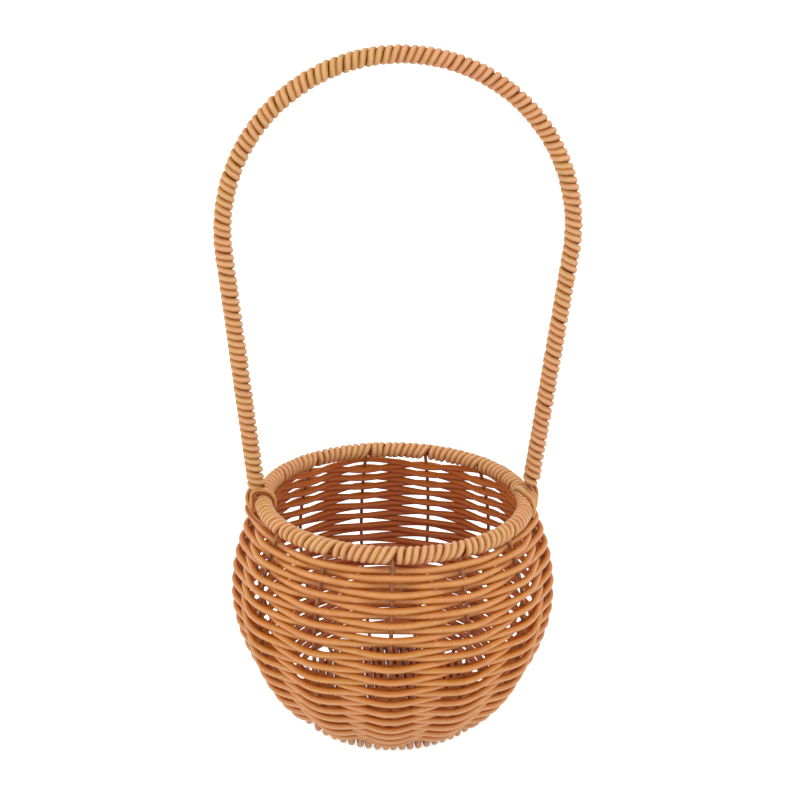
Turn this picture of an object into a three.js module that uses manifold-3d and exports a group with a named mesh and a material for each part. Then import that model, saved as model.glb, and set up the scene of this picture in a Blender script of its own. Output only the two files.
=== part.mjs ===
// Woven basket with a tall fixed hoop handle, in millimetres, +Z up.
// A wire frame (stakes, base ring, rim ring and handle) is woven and wound with one size of round plastic strand.
// The origin is on the table, under the middle of the basket, and the handle stands in the XZ plane.

import * as THREE from 'three';
import { mergeVertices } from 'three/addons/utils/BufferGeometryUtils.js';
import Module from 'manifold-3d';

const wasm = await Module();
wasm.setup();

// Strand and wire
const strandDiameter = 2.7;
const stakeDiameter = 1.6;
const ringWireDiameter = 1.5;
const handleWireDiameter = 1.5;
const clearance = 0.3;

// Bowl
const baseRingRadius = 38.8;
const bellyRadius = 64;
const bellyRise = 51.5; // belly above the base ring
const rimRadius = 54;
const rimRise = 91.7; // rim ring above the base ring
const flareAngle = 40.5; // of the wall where it leaves the base, above the table
const shoulderAngle = 63; // of the wall where it reaches the rim
const flareReach = 31.5; // how long the wall follows each of those directions, and the upright belly
const bellyReachDown = 3.2;
const bellyReachUp = 6.7;
const shoulderReach = 22;
const footCut = 0.5; // depth of the flat under the base winding, on which the basket stands

// Weave
const stakeCount = 13; // odd, so that each row passes the other way round every stake
const stakeTurn = -5.2; // of the first stake from the front, in degrees
const rowGap = 0.2; // least room between two rows
const weaverLengths = 6;

// Windings
const basePitch = 3.4;
const baseEdge = 2.4; // least distance of the outermost turns from the ring's side
const wrapPitch = 2.96; // between neighbouring strands, of which two lie side by side
const wrapStarts = 2;
const grooveDepth = 1.1;

// Handle
const handleRise = 180.5; // top of the handle's wire above the rim ring
const archRadius = 68.3;
const footDrop = 1.5; // of the handle's wire below the middle of the rim ring, beside it
const lashingSpread = 4; // of a lashing's two ends along the rim, from the leg
const lashingDrop = 15; // of its middle below the rim's outer side, as a turn round the rim
const lashingTuck = 25; // of its ends below the rim's inner side
const lashingEase = 1.6; // how long it stays low round the leg before it climbs over the rim

// Facets
const weaverSides = 4;
const windingSides = 5;
const wireSides = 5;
const wrapSides = 6;
const stakeSteps = 9;
const ringSteps = 38;
const handleSteps = 36;
const lashingSteps = 14;

const strandRadius = strandDiameter / 2;
const stakeRadius = stakeDiameter / 2;
const ringWireRadius = ringWireDiameter / 2;
const handleWireRadius = handleWireDiameter / 2;
const baseHeight = ringWireRadius + clearance + strandDiameter - footCut;
const rimHeight = baseHeight + rimRise;
const rimWrapRadius = ringWireRadius + clearance + strandDiameter;
const weaveSwing = stakeRadius + clearance + strandRadius; // of a strand's middle from the stakes' line
const halfSpacing = Math.PI / stakeCount; // between a stake and the middle of the next gap
const firstStake = -Math.PI / 2 + THREE.MathUtils.degToRad(stakeTurn);

const strandLook = { color: 0xd2935f, roughness: 0.45, metalness: 0 };
const wrapLook = { color: 0xd99b62, roughness: 0.45, metalness: 0 };
const wireLook = { color: 0x8a4a30, roughness: 0.5, metalness: 0.2 };

const basket = new THREE.Group();
basket.name = 'basket';

function add(name, geometry, look) {
  const mesh = new THREE.Mesh(geometry, new THREE.MeshStandardMaterial(look));
  mesh.name = name;
  basket.add(mesh);
  return mesh;
}

// A point at a radius and height, turned round the Z axis
function around(radius, height, angle) {
  return new THREE.Vector3(radius * Math.cos(angle), radius * Math.sin(angle), height);
}

function polar(length, degrees) {
  const angle = THREE.MathUtils.degToRad(degrees);
  return new THREE.Vector2(length * Math.cos(angle), length * Math.sin(angle));
}

// Half the bowl's section: radius across, height up, along the middle of the stakes
function wallProfile() {
  const base = new THREE.Vector2(baseRingRadius, baseHeight);
  const belly = new THREE.Vector2(bellyRadius, baseHeight + bellyRise);
  const rim = new THREE.Vector2(rimRadius, rimHeight);
  const flare = base.clone().add(polar(flareReach, flareAngle));
  const shoulder = rim.clone().add(polar(shoulderReach, -shoulderAngle));
  const profile = new THREE.Path();
  profile.moveTo(base.x, base.y);
  profile.bezierCurveTo(flare.x, flare.y, belly.x, belly.y - bellyReachDown, belly.x, belly.y);
  profile.bezierCurveTo(belly.x, belly.y + bellyReachUp, shoulder.x, shoulder.y, rim.x, rim.y);
  return profile;
}

const wall = wallProfile();
const wallLength = wall.getLength();

// A point of the bowl: its distance from the base ring along the wall, its angle, and how far outside the wall it lies
function onWall(distance, angle, outside = 0) {
  const share = distance / wallLength;
  const middle = wall.getPointAt(share);
  const along = wall.getTangentAt(share);
  return around(middle.x + along.y * outside, middle.y - along.x * outside, angle);
}

// The directions that a tube's rings stand in: square to the path, and turning no more than it does
function ringAxes(points, closed) {
  const last = points.length - 1;
  const before = (i) => points[i > 0 ? i - 1 : closed ? last : 0];
  const after = (i) => points[i < last ? i + 1 : closed ? 0 : last];
  const along = points.map((p, i) => after(i).clone().sub(before(i)).normalize());
  const across = [];
  const start = Math.abs(along[0].z) < 0.9 ? new THREE.Vector3(0, 0, 1) : new THREE.Vector3(1, 0, 0);
  along.forEach((direction, i) => {
    const guide = i === 0 ? start : across[i - 1];
    across.push(guide.clone().addScaledVector(direction, -guide.dot(direction)).normalize());
  });
  return along.map((direction, i) => [across[i], direction.clone().cross(across[i])]);
}

// A round tube along points, with flat ends unless it is closed
function tube(points, radius, sides, closed = false) {
  const axes = ringAxes(points, closed);
  const positions = [];
  const faces = [];
  points.forEach((p, i) => {
    for (let j = 0; j < sides; j++) {
      const turn = (2 * Math.PI * j) / sides;
      const v = p.clone().addScaledVector(axes[i][0], radius * Math.cos(turn));
      positions.push(...v.addScaledVector(axes[i][1], radius * Math.sin(turn)).toArray());
    }
  });
  const rings = points.length;
  for (let i = 0; i < (closed ? rings : rings - 1); i++) {
    for (let j = 0; j < sides; j++) {
      const k = (j + 1) % sides;
      const a = i * sides;
      const b = ((i + 1) % rings) * sides;
      faces.push(a + j, a + k, b + k, a + j, b + k, b + j);
    }
  }
  if (!closed) {
    const end = (rings - 1) * sides;
    for (let j = 1; j < sides - 1; j++) {
      faces.push(0, j + 1, j, end, end + j, end + j + 1);
    }
  }
  const geometry = new THREE.BufferGeometry();
  geometry.setAttribute('position', new THREE.Float32BufferAttribute(positions, 3));
  geometry.setIndex(faces);
  return geometry;
}

function solid(geometry) {
  const bare = new THREE.BufferGeometry();
  bare.setAttribute('position', geometry.getAttribute('position'));
  bare.setIndex(geometry.getIndex());
  const merged = mergeVertices(bare, 1e-5);
  const vertProperties = Float32Array.from(merged.getAttribute('position').array);
  const triVerts = Uint32Array.from(merged.getIndex().array);
  return new wasm.Manifold(new wasm.Mesh({ numProp: 3, vertProperties, triVerts }));
}

function geometryOf(manifold) {
  const mesh = manifold.getMesh();
  const geometry = new THREE.BufferGeometry();
  geometry.setAttribute('position', new THREE.BufferAttribute(Float32Array.from(mesh.vertProperties), 3));
  geometry.setIndex([...mesh.triVerts]);
  return geometry;
}

function circle(radius, height, steps) {
  return Array.from({ length: steps }, (_, i) => around(radius, height, (2 * Math.PI * i) / steps));
}

// Joins two lines of vertices into a strip, always stepping along the one that lags
function stitch(faces, left, right) {
  let i = 0;
  let j = 0;
  while (i < left.length - 1 || j < right.length - 1) {
    const nextLeft = i < left.length - 1 ? left[i + 1].turn : Infinity;
    const nextRight = j < right.length - 1 ? right[j + 1].turn : Infinity;
    if (nextLeft <= nextRight) {
      faces.push(left[i].index, right[j].index, left[i + 1].index);
      i++;
    } else {
      faces.push(left[i].index, right[j].index, right[j + 1].index);
      j++;
    }
  }
}

// A sleeve of strands wound side by side round a wire, as one body: a screwed surface outside and a bore inside.
// axesAt(distance) gives the wire's middle and two directions square to it; bore holds the distances of the bore's rings.
function wrapSleeve(axesAt, bore, wireRadius, pitch, closed) {
  const boreRadius = wireRadius + clearance;
  const length = bore[bore.length - 1] - bore[0];
  const crest = boreRadius + strandDiameter;
  const rise = -wrapStarts * pitch; // of a strand in one turn, left-handed
  const positions = [];
  const faces = [];
  const vertex = (distance, radius, side) => {
    const [middle, out, across] = axesAt(distance);
    const turn = (2 * Math.PI * side) / wrapSides;
    middle.addScaledVector(out, radius * Math.cos(turn)).addScaledVector(across, radius * Math.sin(turn));
    positions.push(...middle.toArray());
    return positions.length / 3 - 1;
  };
  const outer = [];
  const inner = [];
  for (let side = 0; side < wrapSides; side++) {
    const shift = (rise * side) / wrapSides;
    const line = [];
    const mark = (distance, radius) => {
      line.push({ index: vertex(distance, radius, side), turn: distance - bore[0] - shift });
    };
    const first = Math.ceil((-shift * 2) / pitch + 0.25);
    const last = Math.floor(((length - shift) * 2) / pitch - 0.25);
    if (closed) {
      const halves = Math.round((length * 2) / pitch);
      for (let half = 0; half < halves; half++) {
        mark(bore[0] + shift + (half * pitch) / 2, half % 2 ? crest - grooveDepth : crest);
      }
    } else {
      mark(bore[0], crest - grooveDepth / 2);
      for (let half = first; half <= last; half++) {
        mark(bore[0] + shift + (half * pitch) / 2, half % 2 ? crest - grooveDepth : crest);
      }
      mark(bore[bore.length - 1], crest - grooveDepth / 2);
    }
    outer.push(line);
    const rings = closed ? bore.slice(0, -1) : bore;
    inner.push(rings.map((distance) => ({ index: vertex(distance, boreRadius, side), turn: distance })));
  }
  for (let side = 0; side < wrapSides; side++) {
    const next = (side + 1) % wrapSides;
    const seam = next === 0 ? rise : 0;
    let left = outer[side];
    let right = outer[next].map((v) => ({ index: v.index, turn: v.turn - seam }));
    let innerLeft = inner[side];
    let innerRight = inner[next];
    if (closed) {
      const loopFrom = (line, from) => {
        const turned = line.map((v, i) => line[(i + from + line.length) % line.length]);
        return [...turned, turned[0]].map((v, i) => ({ index: v.index, turn: i }));
      };
      left = loopFrom(outer[side], 0);
      right = loopFrom(outer[next], next === 0 ? Math.round((2 * rise) / pitch) : 0);
      innerLeft = loopFrom(innerLeft, 0);
      innerRight = loopFrom(innerRight, 0);
    }
    stitch(faces, left, right);
    stitch(faces, innerRight, innerLeft);
    if (!closed) {
      const end = left.length - 1;
      const nextEnd = right.length - 1;
      const boreEnd = innerLeft.length - 1;
      faces.push(left[0].index, innerLeft[0].index, right[0].index);
      faces.push(right[0].index, innerLeft[0].index, innerRight[0].index);
      faces.push(left[end].index, right[nextEnd].index, innerLeft[boreEnd].index);
      faces.push(right[nextEnd].index, innerRight[boreEnd].index, innerLeft[boreEnd].index);
    }
  }
  const geometry = new THREE.BufferGeometry();
  geometry.setAttribute('position', new THREE.Float32BufferAttribute(positions, 3));
  geometry.setIndex(faces);
  return geometry;
}

// Wire frame: two rings and the stakes between them
add('base_ring', tube(circle(baseRingRadius, baseHeight, ringSteps), ringWireRadius, wireSides, true), wireLook);
add('rim_ring', tube(circle(rimRadius, rimHeight, ringSteps), ringWireRadius, wireSides, true), wireLook);

const stakeStart = rimWrapRadius + clearance;
const stakeEnd = wallLength - ringWireRadius - clearance;

function stakePoints(angle) {
  const points = [];
  for (let i = 0; i <= stakeSteps; i++) {
    points.push(onWall(THREE.MathUtils.lerp(stakeStart, stakeEnd, i / stakeSteps), angle));
  }
  return points;
}

const stakeAngles = Array.from({ length: stakeCount }, (_, i) => firstStake + 2 * halfSpacing * i);
stakeAngles.forEach((angle, i) => {
  const name = `stake_${String(i + 1).padStart(2, '0')}`;
  add(name, tube(stakePoints(angle), stakeRadius, wireSides), wireLook);
});

// Weave: one strand that climbs in a spiral, outside one stake and inside the next
const firstRow = rimWrapRadius + clearance + strandRadius;
const lastRow = wallLength - rimWrapRadius - clearance - strandRadius;
// The count of the rows is odd, so that the strand starts outside the first stake and ends inside it
const rowPairs = Math.floor((lastRow - firstRow) / (strandDiameter + rowGap) / 2 - 0.5);
const rowCount = 2 * rowPairs + 1;
const rowPitch = (lastRow - firstRow) / rowCount;

function weavePoint(angle) {
  const distance = firstRow + (rowPitch * (angle - firstStake)) / (2 * Math.PI);
  const outside = weaveSwing * Math.cos((stakeCount * (angle - firstStake)) / 2);
  return onWall(distance, angle, outside);
}

const weaveSteps = rowCount * stakeCount * 2;
const weaveSpine = Array.from({ length: weaveSteps + 1 }, (_, i) => weavePoint(firstStake + halfSpacing * i));

// A strand end at the middle of the straight stretch after a step, half a clearance from the end that it meets
function splice(step, side) {
  const middle = weaveSpine[step].clone().lerp(weaveSpine[step + 1], 0.5);
  const along = weaveSpine[step + 1].clone().sub(weaveSpine[step]).setLength(clearance / 2);
  return middle.addScaledVector(along, side);
}

for (let n = 0; n < weaverLengths; n++) {
  const from = Math.round((weaveSteps * n) / weaverLengths);
  const to = Math.round((weaveSteps * (n + 1)) / weaverLengths);
  const points = weaveSpine.slice(n === 0 ? from : from + 1, to + 1);
  if (n > 0) {
    points.unshift(splice(from, 1));
  }
  if (n < weaverLengths - 1) {
    points.push(splice(to, -1));
  }
  add(`weaver_${n + 1}`, tube(points, strandRadius, weaverSides), strandLook);
}

// Base: one strand wound round the base ring from front to back, flat underneath where it stands.
// The count of its turns is even, so that one of the lower runs crosses the middle.
const baseTurns = 2 * Math.floor((baseRingRadius - baseEdge) / basePitch + 0.5);

function baseWindingPoints() {
  const reach = ringWireRadius + clearance + strandRadius;
  const corner = reach * Math.tan(Math.PI / 8); // half a side of the octagon round the ring's wire
  const over = [[corner, reach], [reach, corner], [reach, -corner], [corner, -reach]];
  const points = [];
  const column = (turn) => basePitch * (turn - (baseTurns - 1) / 2);
  const roundRing = (x, side, levels) => {
    levels.forEach(([out, up]) => {
      const y = Math.sqrt((baseRingRadius + out) ** 2 - x ** 2);
      points.push(new THREE.Vector3(x, side * y, baseHeight + up));
    });
  };
  for (let turn = 0; turn < baseTurns; turn++) {
    roundRing(column(turn), -1, over);
    if (turn < baseTurns - 1) {
      roundRing(column(turn + 1), 1, [...over].reverse());
    }
  }
  return points;
}

function leastGap(points, diameter) {
  const near = 3 * diameter;
  let least = Infinity;
  points.forEach((p, i) => {
    let travelled = 0;
    for (let j = i + 1; j < points.length; j++) {
      travelled += points[j].distanceTo(points[j - 1]);
      if (travelled > near) {
        least = Math.min(least, p.distanceTo(points[j]));
      }
    }
  });
  return least - diameter;
}

const basePoints = baseWindingPoints();
console.log(`least gap between turns of the base winding: ${leastGap(basePoints, strandDiameter).toFixed(2)} mm`);
const table = new THREE.BoxGeometry(4 * baseRingRadius, 4 * baseRingRadius, strandDiameter);
table.translate(0, 0, -strandDiameter / 2);
const baseWinding = solid(tube(basePoints, strandRadius, windingSides)).subtract(solid(table));
add('base_winding', geometryOf(baseWinding), strandLook);

// Handle: a wire hoop in the XZ plane, from beside the rim ring straight up to an arch and down again
const archHeight = rimHeight + handleRise - archRadius;
const footRadius = rimRadius + ringWireRadius + clearance + handleWireRadius;

function hoopPath() {
  const foot = new THREE.Vector2(footRadius, rimHeight - footDrop);
  const fromArch = foot.clone().sub(new THREE.Vector2(0, archHeight));
  const below = Math.atan2(fromArch.y, fromArch.x) + Math.acos(archRadius / fromArch.length());
  const hoop = new THREE.Path();
  hoop.moveTo(foot.x, foot.y);
  hoop.lineTo(archRadius * Math.cos(below), archHeight + archRadius * Math.sin(below));
  hoop.absarc(0, archHeight, archRadius, below, Math.PI - below, false);
  hoop.lineTo(-foot.x, foot.y);
  return hoop;
}

const hoop = hoopPath();
const hoopLength = hoop.getLength();

function hoopAxes(distance) {
  const share = THREE.MathUtils.clamp(distance / hoopLength, 0, 1);
  const middle = hoop.getPointAt(share);
  const along = hoop.getTangentAt(share);
  const out = new THREE.Vector3(along.y, 0, -along.x);
  return [new THREE.Vector3(middle.x, 0, middle.y), out, new THREE.Vector3(0, 1, 0)];
}

const wrapStart = footDrop + rimWrapRadius + strandDiameter + 2 * clearance; // above the lashing
const wrappedLength = hoopLength - 2 * wrapStart;
const handleBore = Array.from(
  { length: handleSteps + 1 }, (_, i) => wrapStart + (wrappedLength * i) / handleSteps
);
const handleSpine = [0, ...handleBore, hoopLength].map((distance) => hoopAxes(distance)[0]);
add('handle_core', tube(handleSpine, handleWireRadius, wrapSides), wireLook);
add('handle_wrap', wrapSleeve(hoopAxes, handleBore, handleWireRadius, wrapPitch, false), wrapLook);

// Rim: the same pair of strands wound round the rim ring, parted where stakes and handle pass through to it
function rimAxes(distance) {
  const angle = distance / rimRadius;
  return [around(rimRadius, rimHeight, angle), around(1, 0, angle), new THREE.Vector3(0, 0, -1)];
}

const rimLength = 2 * Math.PI * rimRadius;
const rimTurns = Math.round(rimLength / wrapPitch);
const rimBore = Array.from({ length: ringSteps + 1 }, (_, i) => (rimLength * i) / ringSteps);
let rimWrap = solid(wrapSleeve(rimAxes, rimBore, ringWireRadius, rimLength / rimTurns, true));
stakeAngles.forEach((angle) => {
  const through = [onWall(wallLength - 2 * rimWrapRadius, angle), onWall(wallLength, angle)];
  rimWrap = rimWrap.subtract(solid(tube(through, stakeRadius + clearance, wireSides)));
});
for (const end of [handleSpine.slice(0, 3), handleSpine.slice(-3)]) {
  rimWrap = rimWrap.subtract(solid(tube(end, handleWireRadius + clearance, wrapSides)));
}
add('rim_wrap', geometryOf(rimWrap), wrapLook);

// Lashings: a strand over the rim on one side of each leg, round outside below its foot and back on the other side
const lashingRadius = rimWrapRadius + clearance + strandRadius;

function lashingPoints(side) {
  const points = [];
  for (let i = 0; i <= lashingSteps; i++) {
    const share = (2 * i) / lashingSteps - 1;
    const along = lashingSpread * Math.sin((THREE.MathUtils.clamp(2 * share, -1, 1) * Math.PI) / 2);
    const climb = Math.abs(share) ** lashingEase;
    const turn = THREE.MathUtils.degToRad(THREE.MathUtils.lerp(-lashingDrop, 180 + lashingTuck, climb));
    const out = rimRadius + lashingRadius * Math.cos(turn);
    const up = rimHeight + lashingRadius * Math.sin(turn);
    const angle = (side > 0 ? 0 : Math.PI) + (side * along) / rimRadius;
    points.push(around(out, up, angle));
  }
  return points;
}

add('lashing_right', tube(lashingPoints(1), strandRadius, windingSides), wrapLook);
add('lashing_left', tube(lashingPoints(-1), strandRadius, windingSides), wrapLook);

export default basket;
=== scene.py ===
import math

import bpy
import numpy as np
from mathutils import Matrix, Vector


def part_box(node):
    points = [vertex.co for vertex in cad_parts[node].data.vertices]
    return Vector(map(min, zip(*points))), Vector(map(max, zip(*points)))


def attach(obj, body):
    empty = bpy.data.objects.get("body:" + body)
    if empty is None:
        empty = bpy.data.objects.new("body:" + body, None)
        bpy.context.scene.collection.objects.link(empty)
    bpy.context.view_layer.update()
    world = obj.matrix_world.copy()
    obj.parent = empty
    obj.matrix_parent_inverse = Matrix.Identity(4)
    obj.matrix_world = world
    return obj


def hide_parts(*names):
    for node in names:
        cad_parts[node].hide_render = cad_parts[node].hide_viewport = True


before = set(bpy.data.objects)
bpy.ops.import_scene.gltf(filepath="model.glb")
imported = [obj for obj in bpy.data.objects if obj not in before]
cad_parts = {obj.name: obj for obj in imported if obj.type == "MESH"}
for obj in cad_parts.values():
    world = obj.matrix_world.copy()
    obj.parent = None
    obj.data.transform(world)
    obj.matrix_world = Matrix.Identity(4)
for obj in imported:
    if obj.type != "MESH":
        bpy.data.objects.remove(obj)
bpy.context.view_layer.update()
bpy.ops.object.select_all(action="DESELECT")
mm = 0.001  # lengths are written in millimetres, angles in degrees
print("frame loaded:", len(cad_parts), "nodes")


# Sizes that several pieces share
wires = {"ring": 1.5, "stake": 1.6, "handle": 1.5}  # diameters
strandWidth = 2.7  # the plastic strand is one size all over the basket
stakeCount = 13


def ringSize(node, wire):  # radius and height of the middle of its wire
    low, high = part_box(node)
    return (high.x - low.x) / 2 / mm - wire / 2, (high.z + low.z) / 2 / mm


baseRadius, baseHeight = ringSize("base_ring", wires["ring"])
rimRadius, rimHeight = ringSize("rim_ring", wires["ring"])


# The camera, where the photograph was taken from
photo = {
    "lens": 68.65,       # on a 36 mm sensor
    "sensor": 36,
    "distance": 631.4,   # from the middle of the rim
    "height": 23.70,     # of the camera above the rim, as an angle
    "side": -4.96,       # and round the basket from the front
    "pitch": 20.01,
    "yaw": 0.146,
    "roll": 1.156,
}


def addCamera(view):
    bpy.ops.object.camera_add()
    camera = bpy.context.object
    camera.name = "photoCamera"
    camera.data.sensor_width = view["sensor"]
    camera.data.lens = view["lens"]
    side, height = math.radians(view["side"]), math.radians(view["height"])
    away = view["distance"] * math.cos(height)
    above = rimHeight + view["distance"] * math.sin(height)
    position = Vector((away * math.sin(side), -away * math.cos(side), above))
    turn = (
        Matrix.Rotation(side - math.radians(view["yaw"]), 4, "Z")
        @ Matrix.Rotation(math.radians(90 - view["pitch"]), 4, "X")
        @ Matrix.Rotation(math.radians(view["roll"]), 4, "Z")
    )
    camera.matrix_world = Matrix.Translation(position * mm) @ turn
    bpy.context.scene.camera = camera


addCamera(photo)
print("camera set")


# Materials
def hexColour(text):  # sRGB hex to linear
    parts = [int(text[i:i + 2], 16) / 255 for i in (1, 3, 5)]
    return (*[p / 12.92 if p <= 0.04045 else ((p + 0.055) / 1.055) ** 2.4 for p in parts], 1)


def addNode(tree, kind, inputs, **settings):
    node = tree.nodes.new(kind)
    for key, value in settings.items():
        setattr(node, key, value)
    for key, value in inputs.items():
        if isinstance(value, bpy.types.NodeSocket):
            tree.links.new(value, node.inputs[key])
        else:
            node.inputs[key].default_value = value
    return node


def newMaterial(name):
    material = bpy.data.materials.new(name)
    material.use_nodes = True
    tree = material.node_tree
    tree.nodes.clear()
    return material, tree


def noise(tree, vector, look, name):
    pattern = look[name]
    scale = [1 / (pattern[way] * mm) for way in ("across", "across", "along")]
    grown = addNode(tree, "ShaderNodeMapping", {"Vector": vector, "Scale": scale}).outputs[0]
    inputs = {"Vector": grown, "Scale": 1, "Detail": pattern["detail"], "Roughness": look["fineness"]}
    return addNode(tree, "ShaderNodeTexNoise", inputs).outputs["Fac"]


def blendColour(tree, factor, low, high):
    mix = addNode(tree, "ShaderNodeMix", {"Factor": factor, 6: low, 7: high}, data_type="RGBA")
    return mix.outputs[2]


# Where the value passes from one of the ends to the other, the result goes from start to finish
def spread(tree, value, ends, start, finish, way="LINEAR"):
    inputs = {"Value": value, "From Min": ends[0], "From Max": ends[1], "To Min": start, "To Max": finish}
    return addNode(tree, "ShaderNodeMapRange", inputs, interpolation_type=way).outputs[0]


# Round polyethylene rattan, extruded and drawn off: satin, with fine lengthwise die lines,
# a colour that wanders between peach and straw along the strand, and darker dye in patches.
# Painted highlight where it stands out, paler near the foot, painted deep orange shade in grooves and
# inside.
# Each pattern has its size across and along, and the part of the noise in which it shows. Real die
# lines are finer: these are as coarse as they need to be to show in the picture.
weaveLook = {
    "name": "extrudedPolyethyleneRattan",
    "peach": "#D0833F", "straw": "#CD883D", "dark": "#AE5F20", "rubbed": "#E3AE6E",
    # the pale colour paints the highlight on the crest and the paler foot; groove and inside paint shade
    "highlightAndFootPale": "#F4CBA4", "paintedGrooveShade": "#C06200", "inside": "#CD7B4E",
    "batch": {"across": 35.1, "along": 55, "detail": 2, "shows": (0.4, 0.6)},
    "lines": {"across": 0.45, "along": 14, "detail": 3, "shows": (0.4, 0.75)},
    "clouds": {"across": 7, "along": 7, "detail": 2, "shows": (0.35, 0.7)},
    "rubs": {"across": 2.6, "along": 2.6, "detail": 4, "shows": (0.52, 0.72)},
    "dents": {"across": 1.6, "along": 1.6, "detail": 2},
    "fineness": 0.6,     # how strongly the finer parts of a pattern show
    "lineDepth": 0.3, "cloudDepth": 0.3, "rubDepth": 0.35,
    "lineHeight": 0.045, "dentHeight": 0.06,
    # these run from the sheltered side of the strand, at -1, to its open side, at 1
    "turn": (-1, -0.4),               # the painted shade of the inside gives way to the groove's painted shade
    "shade": (-0.55, 0.95),           # and the groove's painted shade to the strand's own colour
    # painted highlight: paler along the strand's open side
    "crest": (0.75, 1), "crestPaintedHighlight": 0.28,
    "foot": (0, 45), "footPale": 0.45,  # heights between which the paler colour at the foot ends
    "roughness": (0.36, 0.52), "roughOver": (0.3, 0.7),
    "specular": 0.2, "ior": 1.51,
}
wrapLook = {
    **weaveLook,
    "name": "woundPolyethyleneRattan",
    # a darker groove colour: painted contact shadow between the windings
    "peach": "#CE8855", "straw": "#C8924B", "dark": "#B56C31", "paintedGrooveShade": "#87400E",
    "batch": {**weaveLook["batch"], "along": 110},
    # painted shade in a narrow band next to the wire, and a stronger painted highlight on the crest
    "turn": (-0.45, -0.1), "shade": (-0.1, 0.55),
    "crestPaintedHighlight": 0.5, "footPale": 0.34,
}


def rattanMaterial(look):
    material, tree = newMaterial(look["name"])
    straight = addNode(tree, "ShaderNodeAttribute", {}, attribute_name="straight").outputs["Vector"]
    outwards = addNode(tree, "ShaderNodeAttribute", {}, attribute_name="outwards").outputs["Fac"]
    position = addNode(tree, "ShaderNodeTexCoord", {}).outputs["Object"]
    height = addNode(tree, "ShaderNodeSeparateXYZ", {"Vector": position}).outputs["Z"]
    batch = noise(tree, straight, look, "batch")
    lines = noise(tree, straight, look, "lines")
    clouds = noise(tree, position, look, "clouds")
    rubs = noise(tree, position, look, "rubs")
    dents = noise(tree, position, look, "dents")

    tone = spread(tree, batch, look["batch"]["shows"], 0, 1)
    colour = blendColour(tree, tone, hexColour(look["peach"]), hexColour(look["straw"]))
    footEnds = [end * mm for end in look["foot"]]
    for factor, tint in (
        (spread(tree, clouds, look["clouds"]["shows"], 0, look["cloudDepth"]), look["dark"]),
        (spread(tree, lines, look["lines"]["shows"], 0, look["lineDepth"]), look["dark"]),
        (spread(tree, rubs, look["rubs"]["shows"], 0, look["rubDepth"]), look["rubbed"]),
        # paler towards the foot
        (spread(tree, height, footEnds, look["footPale"], 0), look["highlightAndFootPale"]),
        # painted highlight along the strand's open side
        (spread(tree, outwards, look["crest"], 0, look["crestPaintedHighlight"]), look["highlightAndFootPale"]),
    ):
        colour = blendColour(tree, factor, colour, hexColour(tint))
    # painted shade: inside colour on the sheltered side, groove colour in the grooves, then the strand's
    # own
    turned = spread(tree, outwards, look["turn"], 0, 1, "SMOOTHSTEP")
    hidden = blendColour(tree, turned, hexColour(look["inside"]), hexColour(look["paintedGrooveShade"]))
    shown = spread(tree, outwards, look["shade"], 0, 1, "SMOOTHSTEP")
    colour = blendColour(tree, shown, hidden, colour)

    dented = addNode(tree, "ShaderNodeBump", {
        "Height": dents, "Strength": 1, "Distance": look["dentHeight"] * mm,
    })
    lined = addNode(tree, "ShaderNodeBump", {
        "Height": lines, "Strength": 1, "Distance": look["lineHeight"] * mm,
        "Normal": dented.outputs[0],
    })
    shader = addNode(tree, "ShaderNodeBsdfPrincipled", {
        "Base Color": colour, "Roughness": spread(tree, lines, look["roughOver"], *look["roughness"]),
        "Normal": lined.outputs[0], "IOR": look["ior"], "Specular IOR Level": look["specular"],
    })
    addNode(tree, "ShaderNodeOutputMaterial", {"Surface": shader.outputs[0]})
    return material


# Drawn steel wire, dipped in red-brown paint: a smooth film, thicker in some places than in others
wireLook = {
    "name": "paintedSteelWire",
    "thin": "#8A4E2E", "thick": "#B4703F",
    "runs": {"across": 5, "along": 5, "detail": 4, "shows": (0.35, 0.65)},
    "fineness": 0.5, "filmHeight": 0.03,
    "roughness": (0.5, 0.34), "roughOver": (0.3, 0.7),  # the film is glossier where it is thick
    "ior": 1.5,
}


def wireMaterial(look):
    material, tree = newMaterial(look["name"])
    position = addNode(tree, "ShaderNodeTexCoord", {}).outputs["Object"]
    runs = noise(tree, position, look, "runs")
    thickness = spread(tree, runs, look["runs"]["shows"], 0, 1)
    bump = addNode(tree, "ShaderNodeBump", {
        "Height": runs, "Strength": 1, "Distance": look["filmHeight"] * mm,
    })
    shader = addNode(tree, "ShaderNodeBsdfPrincipled", {
        "Base Color": blendColour(tree, thickness, hexColour(look["thin"]), hexColour(look["thick"])),
        "Roughness": spread(tree, runs, look["roughOver"], *look["roughness"]),
        "Normal": bump.outputs[0], "IOR": look["ior"],
    })
    addNode(tree, "ShaderNodeOutputMaterial", {"Surface": shader.outputs[0]})
    return material


weaveMaterial = rattanMaterial(weaveLook)
wrapMaterial = rattanMaterial(wrapLook)
wirePaint = wireMaterial(wireLook)
print("materials made")


# Strands and wires: round rods drawn along a line of points
rod = {
    "sides": 10, "smooth": 60,
    "lumps": 14,         # length between a strand's thick and thin places
    "swell": 0.02,       # how much thicker or thinner they are
    "apart": 3,          # strand widths between the patterns of one strand and the next
    "weld": 0.001,
}


def wander(count, seed):  # random values from -1 to 1
    return np.random.default_rng(seed).uniform(-1, 1, count)


def eased(share):
    share = np.clip(share, 0, 1)
    return share * share * (3 - 2 * share)


def smoothThrough(values, at):  # values at whole numbers, eased in between
    low = np.clip(np.floor(at).astype(int), 0, len(values) - 2)
    share = eased(at - low)
    return values[low] * (1 - share) + values[low + 1] * share


def lengthAlong(points):
    return np.concatenate([[0], np.cumsum(np.linalg.norm(np.diff(points, axis=0), axis=1))])


def outwardness(places, middle, sheltered, width):  # -1 on the sheltered side, 1 on the open side
    outward = middle - sheltered
    outward /= np.linalg.norm(outward, axis=1, keepdims=True)
    return ((places - middle) * outward).sum(axis=1) / (width / 2)
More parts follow.
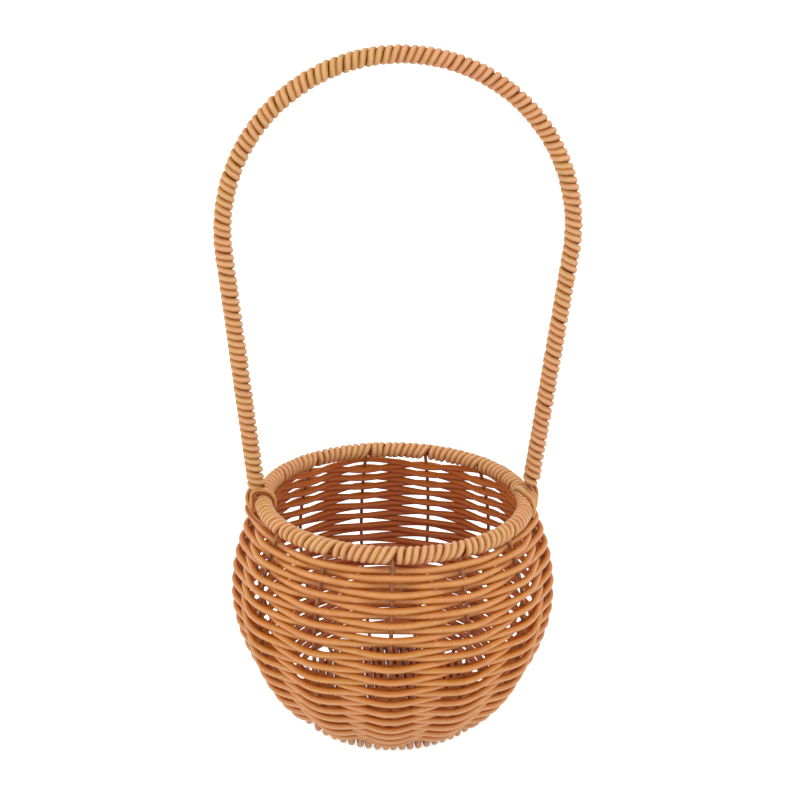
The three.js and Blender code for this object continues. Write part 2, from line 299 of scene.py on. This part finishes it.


# "sheltered" is the place, or the line of places, that the rod's hidden side looks towards; there the
# rattan gets its painted shade
def addRod(name, points, width, material, swell=rod["swell"], seed=0, sheltered=None):
    count, sides = len(points), rod["sides"]
    run = lengthAlong(points)
    curve = bpy.data.curves.new(name, "CURVE")
    curve.dimensions = "3D"
    curve.bevel_depth = width / 2 * mm
    curve.bevel_resolution = (sides - 4) // 2  # gives the section that many sides
    curve.use_fill_caps = True
    spline = curve.splines.new("POLY")
    spline.points.add(count - 1)
    spline.points.foreach_set("co", np.c_[points * mm, np.ones(count)].ravel())
    lumps = wander(int(run[-1] / rod["lumps"]) + 3, seed)
    spline.points.foreach_set("radius", 1 + swell * smoothThrough(lumps, run / rod["lumps"]))
    piece = bpy.data.objects.new(name, curve)
    bpy.context.collection.objects.link(piece)
    piece.select_set(True)
    bpy.context.view_layer.objects.active = piece
    bpy.ops.object.convert(target="MESH")
    piece = bpy.context.object
    mesh = piece.data

    # Where each vertex lies on the straightened strand, so that lines and shades follow it.
    # The vertices of the two ends come first, then those of the rings in order.
    places = np.zeros(len(mesh.vertices) * 3)
    mesh.vertices.foreach_get("co", places)
    places = places.reshape(-1, 3)
    first = len(places) - count * sides
    turn = np.tile(np.arange(sides), count) * 2 * math.pi / sides
    straight = np.zeros_like(places)
    straight[first:, 0] = width / 2 * np.cos(turn) + rod["apart"] * width * seed
    straight[first:, 1] = width / 2 * np.sin(turn)
    straight[first:, 2] = run.repeat(sides)
    ends = np.r_[first:first + sides, len(places) - sides:len(places)]
    for i in range(first):
        straight[i] = straight[ends[np.argmin(np.linalg.norm(places[ends] - places[i], axis=1))]]
    layer = mesh.attributes.new("straight", "FLOAT_VECTOR", "POINT")
    layer.data.foreach_set("vector", (straight * mm).ravel())
    # outwards places the rattan's painted shade and painted highlight round the strand
    outwards = np.ones(len(places))
    if sheltered is not None:
        middle = points.repeat(sides, axis=0)
        hidden = np.broadcast_to(sheltered, points.shape).repeat(sides, axis=0)
        outwards[first:] = outwardness(places[first:] / mm, middle, hidden, width)
    layer = mesh.attributes.new("outwards", "FLOAT", "POINT")
    layer.data.foreach_set("value", outwards)

    bpy.ops.object.mode_set(mode="EDIT")
    bpy.ops.mesh.select_all(action="SELECT")
    bpy.ops.mesh.remove_doubles(threshold=rod["weld"] * mm)
    bpy.ops.object.mode_set(mode="OBJECT")
    bpy.ops.object.shade_smooth_by_angle(angle=math.radians(rod["smooth"]))
    mesh.materials.clear()
    mesh.materials.append(material)
    piece.select_set(False)
    return piece


def place(piece, slot, *nodes):  # everything rides on the one body
    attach(piece, "root")
    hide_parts(*nodes)


# The wall: the line that the stakes follow, from the base ring to the rim ring
wallShape = {
    "bellyRadius": 64,
    "bellyRise": 51.5,      # above the base ring
    "flareAngle": 40.5,     # of the wall where it leaves the base
    "flareReach": 31.5,     # how long it keeps that direction
    "bellyDown": 3.2,       # how long it keeps upright below the belly, and above it
    "bellyUp": 6.7,
    "shoulderAngle": 63,    # of the wall where it reaches the rim
    "shoulderReach": 22,
}


def bezier(points, steps=400):
    t = np.linspace(0, 1, steps)[:, None]
    a, b, c, d = (np.array(p, float) for p in points)
    return (1 - t) ** 3 * a + 3 * (1 - t) ** 2 * t * b + 3 * (1 - t) * t ** 2 * c + t ** 3 * d


def polar(length, degrees):
    return np.array([math.cos(math.radians(degrees)), math.sin(math.radians(degrees))]) * length


def wallSection(shape):
    base = np.array([baseRadius, baseHeight])
    belly = np.array([shape["bellyRadius"], baseHeight + shape["bellyRise"]])
    rim = np.array([rimRadius, rimHeight])
    flare = base + polar(shape["flareReach"], shape["flareAngle"])
    shoulder = rim + polar(shape["shoulderReach"], -shape["shoulderAngle"])
    lower = bezier([base, flare, belly - [0, shape["bellyDown"]], belly])
    upper = bezier([belly, belly + [0, shape["bellyUp"]], shoulder, rim])
    return np.vstack([lower, upper[1:]])


section = wallSection(wallShape)
sectionRun = lengthAlong(section)
sectionSlope = np.gradient(section, sectionRun, axis=0)
wallLength = sectionRun[-1]


def onWall(distance, angle, outside):
    radius, height, slopeOut, slopeUp = (
        np.interp(distance, sectionRun, values)
        for values in (section[:, 0], section[:, 1], sectionSlope[:, 0], sectionSlope[:, 1])
    )
    radius = radius + slopeUp * outside
    height = height - slopeOut * outside
    return np.stack([radius * np.cos(angle), radius * np.sin(angle), height], axis=-1)


# Stakes
stakes = {
    "turn": -5.2,        # of the first stake from the front
    "start": 1.0,        # along the wall, from the middle of the base ring's wire
    "steps": 60, "swell": 0.01, "seed": 40,
}
stakeStep = 2 * math.pi / stakeCount
firstStake = math.radians(-90 + stakes["turn"])

for i in range(stakeCount):
    run = np.linspace(stakes["start"], wallLength - wires["ring"] / 2, stakes["steps"])
    path = onWall(run, firstStake + stakeStep * i, 0)
    name = f"stake_wire_{i + 1:02d}"
    seed = stakes["seed"] + i
    stake = addRod(name, path, wires["stake"], wirePaint, swell=stakes["swell"], seed=seed)
    place(stake, "frame_wire", f"stake_{i + 1:02d}")
print("stakes made")


# Weave: one strand that climbs in a spiral, outside one stake and inside the next
bowlMiddle = (0, 0, baseHeight + wallShape["bellyRise"])
windingReach = 3.5  # of the outside of a strand that is wound round a ring, from the middle of its wire
weave = {
    "rows": 31,
    "lengths": 6,
    "overrun": 10,       # stakes passed after the last whole row, round the back
    "firstRow": 5.04,    # distance of the first row from the base ring, along the wall
    "lastRow": 6.2,      # and of the last from the rim ring
    "swing": 2.29,       # of the strand's middle, outside and inside the stakes
    "bend": 1.53,        # how much more sharply it bends round a stake than an even wave
    "tuckFirst": 0.9,    # its first end runs back inside the stake before
    "tuckLast": 0.1,     # and its last end stays inside
    "risenBack": 2.97,   # at the back the lowest rows lie higher than in front, and the highest lower
    "bowedBack": 0.72,   # and those between lie higher still
    "sunkSide": 2.43,    # at the sides, where the base ring is bare, the lowest rows hang deeper
    "sunkRows": 5.5,     # how many rows it takes for this to fade
    "steps": 12,         # from stake to stake
    "looseAtStake": 0.45,  # of the strand from its even height
    "looseBetween": 0.06,
    "swell": 0.025,
    "looseSeed": 330,
}

# The winding of the base ends short of the ring's sides, both as shares of its radius
baseEdge = {"wound": 0.92, "bare": 0.98}


def weavePath(start, end):  # in stakes passed, from the first
    passed = np.linspace(start, end, int(round((end - start) * weave["steps"])) + 1)
    angle = firstStake + passed * stakeStep
    share = passed / (weave["rows"] * stakeCount)
    lastRow = wallLength - weave["lastRow"]
    distance = weave["firstRow"] + (lastRow - weave["firstRow"]) * share
    loose = wander(2 * (weave["rows"] + 1) * stakeCount, weave["looseSeed"])
    loose[0::2] *= weave["looseAtStake"]
    loose[1::2] *= weave["looseBetween"]
    distance = distance + smoothThrough(loose, 2 * passed)
    back = np.clip(np.sin(angle), 0, 1)
    risen = weave["risenBack"] * (1 - 2 * share) + weave["bowedBack"] * np.sin(math.pi * share)
    side = np.cos(angle) ** 2
    sunk = weave["sunkSide"] * np.exp(-share * weave["rows"] / weave["sunkRows"])
    distance = distance + back * risen - side * sunk
    wave = np.cos(math.pi * passed)
    outside = weave["swing"] * np.sign(wave) * np.abs(wave) ** weave["bend"]
    # the highest row lies under the rim's winding, and the lowest on the base winding or the bare ring
    distance = np.minimum(distance, wallLength - windingReach - strandWidth / 2)
    past = np.abs(np.cos(angle)) - baseEdge["wound"]
    bare = eased(past / (baseEdge["bare"] - baseEdge["wound"]))
    reach = windingReach + (wires["ring"] / 2 - windingReach) * bare
    near = (reach + strandWidth / 2) / np.hypot(distance, outside)
    distance = np.where(near > 1, distance * near, distance)
    outside = np.where(near > 1, outside * near, outside)
    return onWall(distance, angle, outside)


for n in range(weave["lengths"]):
    each = weave["rows"] * stakeCount / weave["lengths"]
    start, end = n * each, (n + 1) * each
    if n == 0:
        start -= weave["tuckFirst"]
    if n == weave["lengths"] - 1:
        end += weave["overrun"] + weave["tuckLast"]
    path = weavePath(start, end)
    name = f"weave_strand_{n + 1}"
    # the side towards the bowl's middle gets painted shade, the side away from it a painted highlight
    strand = addRod(
        name, path, strandWidth, weaveMaterial, swell=weave["swell"], seed=n, sheltered=bowlMiddle
    )
    place(strand, "weave_strand", f"weaver_{n + 1}")
print("weave made")


# Base: one strand wound round the base ring from front to back
base = {
    "turns": 22, "pitch": 3.4,
    "reach": 2.15,       # of the strand's middle from the ring's wire
    "bends": 8,
    "inside": 20,        # height above the ring of the line that its sheltered, painted-shade side looks towards
    "loose": 0.2,        # of each turn from its even place
    "crossing": 0.5,     # where the lower run has crossed over, as a share of its way to the front
    "looseSeed": 12, "strandSeed": 11,
}


def basePath():
    points = []
    turns = np.arange(base["turns"])
    across = base["pitch"] * (turns - (base["turns"] - 1) / 2)
    across += wander(base["turns"], base["looseSeed"]) * base["loose"]

    def bend(x, side, order):  # round the ring's wire, from the upper to the lower run or back
        for turn in np.linspace(0, math.pi, base["bends"])[::order]:
            y = math.sqrt((baseRadius + base["reach"] * math.sin(turn)) ** 2 - x * x)
            points.append((x, side * y, baseHeight + base["reach"] * math.cos(turn)))

    for x, following in zip(across, [*across[1:], None]):
        bend(x, -1, -1)
        bend(x, 1, 1)
        if following is not None:  # the lower run goes back to the front, and over to the next turn
            front = -math.sqrt(baseRadius ** 2 - following ** 2)
            points.append((x, 0, baseHeight - base["reach"]))
            points.append((following, base["crossing"] * front, baseHeight - base["reach"]))
    return np.array(points)


def restOnTable(piece):  # the strands are pressed flat where the basket stands on them
    for vertex in piece.data.vertices:
        vertex.co.z = max(vertex.co.z, 0)


path = basePath()
# the winding's upper side, inside the bowl, gets painted shade
inside = path * (1, 0, 0) + (0, 0, baseHeight + base["inside"])
floorWinding = addRod(
    "base_strand", path, strandWidth, wrapMaterial, seed=base["strandSeed"], sheltered=inside
)
restOnTable(floorWinding)
place(floorWinding, "wrap_strand", "base_winding")
print("base made")


# Rim and handle: a pair of strands wound side by side, left-handed.
# Each strand of a pair draws its unevenness along the wire and off it from two seeds of its own.
wrap = {
    "width": 2.84,       # of a strand, which is pressed wider between its neighbours
    "reach": 2.15,       # of a strand's middle from the wire's
    "lead": 5.92,        # along the wire in one turn, for each of the two strands
    "steps": 18,         # in one turn
    "push": 1.5,         # of the windings away from each stake, underneath
    "looseOver": 0.19,   # of each pass from its even place, on top and underneath
    "looseUnder": 0.38,
    "ride": 0.1,         # of a strand off its wire
}
rim = {"looseSeed": 50, "strandSeed": 20}


def windingPlaces(turns, seed):  # turns made, and how far the strand strays along and off the wire
    turned = np.linspace(0, turns, int(turns * wrap["steps"]) + 1)
    loose = wander(2 * int(turns) + 4, seed)
    loose[0::2] *= wrap["looseOver"]
    loose[1::2] *= wrap["looseUnder"]
    stray = smoothThrough(loose, 2 * turned)
    ride = wrap["ride"] * smoothThrough(wander(int(turns) + 3, seed + 1), turned)
    return turned, stray, wrap["reach"] + ride


def onRim(angle, outside, above):  # outside and above the ring's wire
    radius = rimRadius + outside
    height = rimHeight + above + np.zeros_like(angle)
    return np.stack([radius * np.cos(angle), radius * np.sin(angle), height], axis=-1)


def rimPath(half):
    around = 2 * math.pi * rimRadius
    turns = round(around / wrap["lead"])
    turned, stray, reach = windingPlaces(turns, rim["looseSeed"] + 2 * half)
    blend = np.clip(np.minimum(turned, turns - turned), 0, 1)  # the two ends meet
    stray = stray * blend
    reach = wrap["reach"] + (reach - wrap["reach"]) * blend
    spin = 2 * math.pi * (turned + half / 2)  # from the top, outwards and under
    lead = around / turns
    along = -lead * turned
    # each pass under the ring gives way to the stake beside it
    under = -lead * (np.floor(turned + half / 2) + 0.5 - half / 2)
    spacing = around / stakeCount
    beside = (under - firstStake * rimRadius) % spacing / spacing
    along = along + stray + wrap["push"] * (1 - 2 * beside) * (1 - np.cos(spin)) / 2
    angle = along / rimRadius
    return onRim(angle, reach * np.sin(spin), reach * np.cos(spin)), onRim(angle, 0, 0)


for half in (0, 1):
    path, core = rimPath(half)
    name = f"rim_strand_{half + 1}"
    seed = rim["strandSeed"] + half
    # painted shade on the side towards the wire, in the grooves between the windings
    strand = addRod(name, path, wrap["width"], wrapMaterial, seed=seed, sheltered=core)
    place(strand, "wrap_strand", "rim_wrap")
print("rim made")


handle = {
    "footDrop": 1.5,     # of the wire's foot below the middle of the rim ring
    "gap": 0.3,          # between the two wires
    "bareFoot": 7.5,     # of the wire, below the lowest winding
    "reach": 2.3,        # of a strand's middle from the wire's
    "tucked": 0.8,       # and of its two ends, which are tucked in below the windings
    "tuckTurn": 0.3,     # the part of a turn that this takes
    "looseSeed": 60, "strandSeed": 30,
}
coreLow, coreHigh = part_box("handle_core")
archRadius = (coreHigh.x - coreLow.x) / 2 / mm - wires["handle"] / 2
archHeight = coreHigh.z / mm - wires["handle"] / 2 - archRadius
footHeight = rimHeight - handle["footDrop"]
footRadius = rimRadius + (wires["ring"] + wires["handle"]) / 2 + handle["gap"]


def hoopSection(steps=4000):  # the handle's wire: a round arch, and straight legs that run on from it
    down = footHeight - archHeight
    below = math.atan2(down, footRadius) + math.acos(archRadius / math.hypot(footRadius, down))
    turn = np.linspace(below, math.pi - below, steps)
    arch = np.stack([archRadius * np.cos(turn), archHeight + archRadius * np.sin(turn)], axis=-1)
    foot = np.array([footRadius, footHeight])
    leg = np.linspace(foot, arch[0], steps, endpoint=False)
    otherLeg = np.linspace(arch[-1], foot * [-1, 1], steps + 1)[1:]
    return np.vstack([leg, arch, otherLeg])


hoop = hoopSection()
hoopRun = lengthAlong(hoop)
hoopSlope = np.gradient(hoop, hoopRun, axis=0)


def handlePath(half):
    turns = (hoopRun[-1] - 2 * handle["bareFoot"]) / wrap["lead"]
    turned, stray, reach = windingPlaces(turns, handle["looseSeed"] + 2 * half)
    run = handle["bareFoot"] + wrap["lead"] * turned + stray
    spin = -2 * math.pi * turned + math.pi * half
    x, z, slopeX, slopeZ = (
        np.interp(run, hoopRun, v) for v in (hoop[:, 0], hoop[:, 1], hoopSlope[:, 0], hoopSlope[:, 1])
    )
    reach = reach + handle["reach"] - wrap["reach"]
    tuck = np.clip(1 - np.minimum(turned, turns - turned) / handle["tuckTurn"], 0, 1) ** 2
    reach = reach + (handle["tucked"] - reach) * tuck
    out = reach * np.cos(spin)
    core = np.stack([x, np.zeros_like(x), z], axis=-1)
    return np.stack([x + slopeZ * out, reach * np.sin(spin), z - slopeX * out], axis=-1), core


for half in (0, 1):
    path, core = handlePath(half)
    name = f"handle_strand_{half + 1}"
    seed = handle["strandSeed"] + half
    # painted shade on the side towards the wire, in the grooves between the windings
    strand = addRod(name, path, wrap["width"], wrapMaterial, seed=seed, sheltered=core)
    place(strand, "wrap_strand", "handle_wrap")
print("handle made")


# Lashings: strands that bind each leg's foot to the rim.
# Each stop is a distance along the rim from the leg towards the front, an angle round the rim
# from its outer side over the top, and a lift off the windings.
lashings = {
    "left": {
        "over": [
            (4, 215, -0.9), (3, 190, -0.7), (2.4, 162, -0.6), (2, 133, -0.4), (2, 107, -0.1),
            (2, 82, 0.3), (2, 57, 1), (2, 42, 0.7), (2, 28, -0.1), (2.4, 5, -0.5),
            (3.2, -20, -0.7), (4.4, -50, -0.8), (6, -80, -1),
        ],
        "round": [
            (-4, 95, 0.6), (-3.5, 65, 0.9), (-2.6, 38, 1.3), (-1, 14, 1.5), (1, -4, 1),
            (3, -22, 0.1), (5, -45, -0.6),
        ],
        "under": [
            (0, -15, 1.2), (2, -22, 2), (4.5, -30, 1.9), (7.5, -40, 1.3), (10.5, -50, 0.7),
            (13, -62, 0.2), (16, -80, 0),
        ],
    },
    "right": {
        "over": [
            (-5.5, 108, -2.8), (-4.2, 85, -1.3), (-2.1, 62, -0.9), (0.2, 42, -0.9),
            (3.2, 20, -0.9), (5.6, -5, -0.9), (7.2, -35, -1.1), (8, -70, -1.3),
        ],
        "beside": [
            (-4, 112, -2.6), (-1.6, 90, -1.9), (1.2, 68, -1.7), (4.6, 44, -1.6), (7.6, 18, -1.6),
            (9.6, -12, -1.6), (10.8, -45, -1.7),
        ],
        "across": [
            (-6, 162, -3), (-4, 142, -2.2), (-1, 120, -1.4), (2.5, 104, -1.3), (6.3, 86, -1.3),
            (9.8, 60, -1.3), (12.4, 35, -1.3), (14.5, 5, -1.4), (16, -30, -1.5),
        ],
        "round": [
            (-6, 60, 0.2), (-4.5, 38, 0.6), (-2.5, 18, 0.6), (0, 2, 0.1), (2.5, -15, -0.5),
            (5, -40, -1),
        ],
    },
}
knots = {"steps": 10, "strandSeed": 35}  # steps from stop to stop


def roundThrough(stops, steps):  # a smooth line through the stops
    stops = np.array(stops, float)
    stops = np.vstack([2 * stops[0] - stops[1], stops, 2 * stops[-1] - stops[-2]])
    t = np.linspace(0, 1, steps, endpoint=False)[:, None]
    line = []
    for a, b, c, d in zip(stops, stops[1:], stops[2:], stops[3:]):
        square = 2 * a - 5 * b + 4 * c - d
        cube = 3 * (b - c) + d - a
        line.append(b + ((c - a) * t + square * t ** 2 + cube * t ** 3) / 2)
    return np.vstack(line + [stops[-2:-1]])


def lashingPath(side, stops):
    along, turn, lift = roundThrough(stops, knots["steps"]).T
    foot, towardsFront = (0, -1) if side == "right" else (math.pi, 1)
    angle = foot + towardsFront * along / rimRadius
    turn = np.radians(turn)
    reach = windingReach + strandWidth / 2 + lift
    return onRim(angle, reach * np.cos(turn), reach * np.sin(turn)), onRim(angle, 0, 0)


for side, strands in lashings.items():
    for i, (way, stops) in enumerate(strands.items()):
        path, core = lashingPath(side, stops)
        name = f"lashing_{side}_{way}"
        seed = knots["strandSeed"] + i
        # painted shade on the side towards the rim's wire
        strand = addRod(name, path, strandWidth, wrapMaterial, seed=seed, sheltered=core)
        place(strand, "wrap_strand", f"lashing_{side}")
print("lashings made")

# The other wires keep the shape that they have in the frame, and get the paint
for node in ("base_ring", "rim_ring", "handle_core"):
    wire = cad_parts[node]
    wire.data.materials.clear()
    wire.data.materials.append(wirePaint)
print("wires painted")


# Studio: a white table and room, with soft lamps in front, at the sides and overhead
studio = {
    "floorSize": 14,
    "floorWhite": 0.88, "floorGlow": 0.7,  # the glow is seen but lights nothing, and leaves a faint shadow
    "ambient": 0.86,
    "lampSize": 0.9,
    "lamps": {  # place and power
        "frontLamp": ((0, -1.4, 0.75), 1.8),
        "leftLamp": ((-1.3, -0.2, 0.7), 3.4),
        "rightLamp": ((1.3, -0.2, 0.7), 2.6),
        "overLamp": ((0, -0.35, 1.5), 2.6),
    },
    "aim": (0, 0, 0.1),  # the point that the lamps face
}


# A strength that is "shown" to the camera, also in reflections, and "lighting" for everything else
def seenDirectly(tree, lighting, shown):
    path = addNode(tree, "ShaderNodeLightPath", {})
    seen = path.outputs["Is Camera Ray"]
    for ray in ("Is Glossy Ray", "Is Transmission Ray"):
        either = addNode(tree, "ShaderNodeMath", {0: seen, 1: path.outputs[ray]}, operation="MAXIMUM")
        seen = either.outputs[0]
    return spread(tree, seen, (0, 1), lighting, shown)


def addFloor():
    bpy.ops.mesh.primitive_plane_add(size=studio["floorSize"])
    floor = bpy.context.object
    floor.name = "floor"
    material, tree = newMaterial("whitePaper")
    white = studio["floorWhite"]
    diffuse = addNode(tree, "ShaderNodeBsdfDiffuse", {"Color": (white, white, white, 1)})
    glow = addNode(tree, "ShaderNodeEmission", {"Strength": seenDirectly(tree, 0, studio["floorGlow"])})
    both = addNode(tree, "ShaderNodeAddShader", {0: diffuse.outputs[0], 1: glow.outputs[0]})
    addNode(tree, "ShaderNodeOutputMaterial", {"Surface": both.outputs[0]})
    floor.data.materials.append(material)


def addRoom():
    world = bpy.data.worlds.new("studioRoom")
    bpy.context.scene.world = world
    world.use_nodes = True
    tree = world.node_tree
    tree.nodes.clear()
    strength = seenDirectly(tree, studio["ambient"], 1)
    background = addNode(tree, "ShaderNodeBackground", {"Color": (1, 1, 1, 1), "Strength": strength})
    addNode(tree, "ShaderNodeOutputWorld", {"Surface": background.outputs[0]})


def addLamp(name, location, power):
    bpy.ops.object.light_add(type="AREA", location=location)
    lamp = bpy.context.object
    lamp.name = name
    lamp.data.shape = "DISK"
    lamp.data.size = studio["lampSize"]
    lamp.data.energy = power
    towards = Vector(studio["aim"]) - Vector(location)
    lamp.rotation_euler = towards.to_track_quat("-Z", "Y").to_euler()


addFloor()
addRoom()
for name, (location, power) in studio["lamps"].items():
    addLamp(name, location, power)
bpy.context.scene.view_settings.view_transform = "Standard"
print("studio made")
